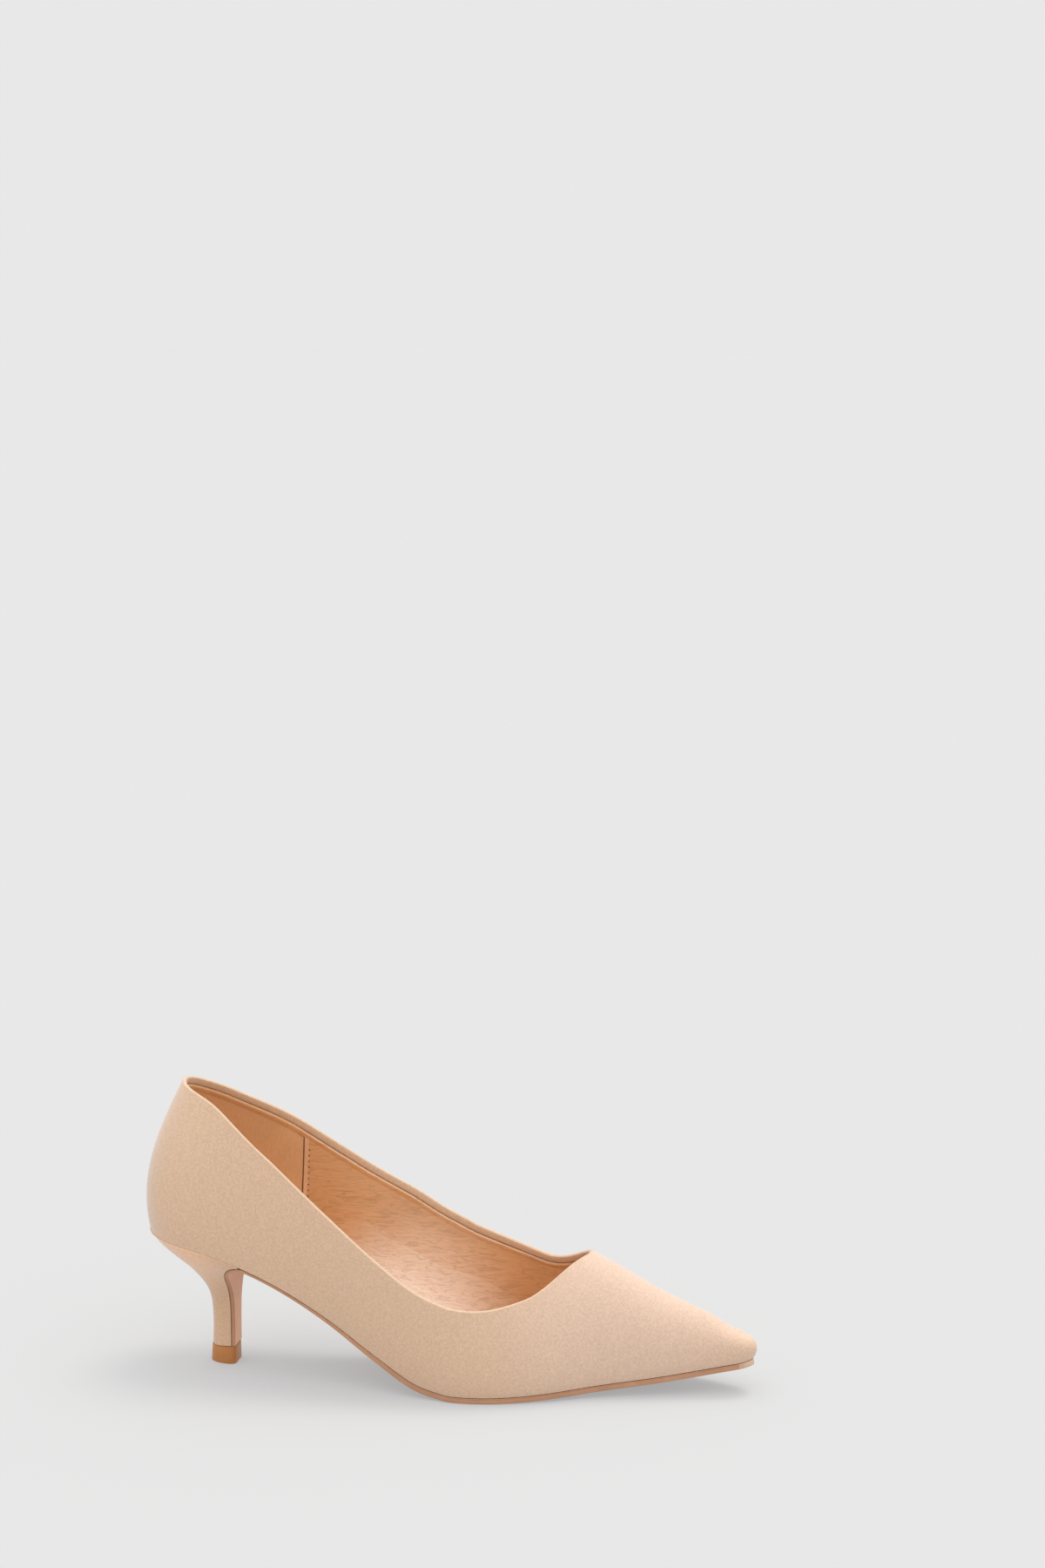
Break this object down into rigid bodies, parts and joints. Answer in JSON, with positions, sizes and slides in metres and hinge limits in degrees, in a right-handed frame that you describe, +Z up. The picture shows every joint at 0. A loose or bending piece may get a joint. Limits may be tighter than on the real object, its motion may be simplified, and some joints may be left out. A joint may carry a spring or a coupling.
{
  "type": "kitten heel pump",
  "caption": "Pointed-toe pump with a low waisted heel, a smooth suede-like upper, a thin sole and a small walking piece.",
  "frame": {"origin": "on the floor, under the middle of the shoe's length and width", "axes": "+X points to the toe, +Z is up, and +Y points to the inner side of the foot, which is the wearer's left on this right shoe"},
  "size_m": [0.251, 0.0692, 0.1188],
  "materials": {
    "suede": "matt suede-like nap",
    "sock": "smooth satin",
    "sole": "smooth satin",
    "heel_cover": "matt suede-like nap",
    "lift": "semi-gloss"
  },
  "bodies": {
    "root": {"upper": "suede", "insole": "sock", "outsole": "sole", "heel": "heel_cover", "top_lift": "lift"}
  },
  "joints": []
}
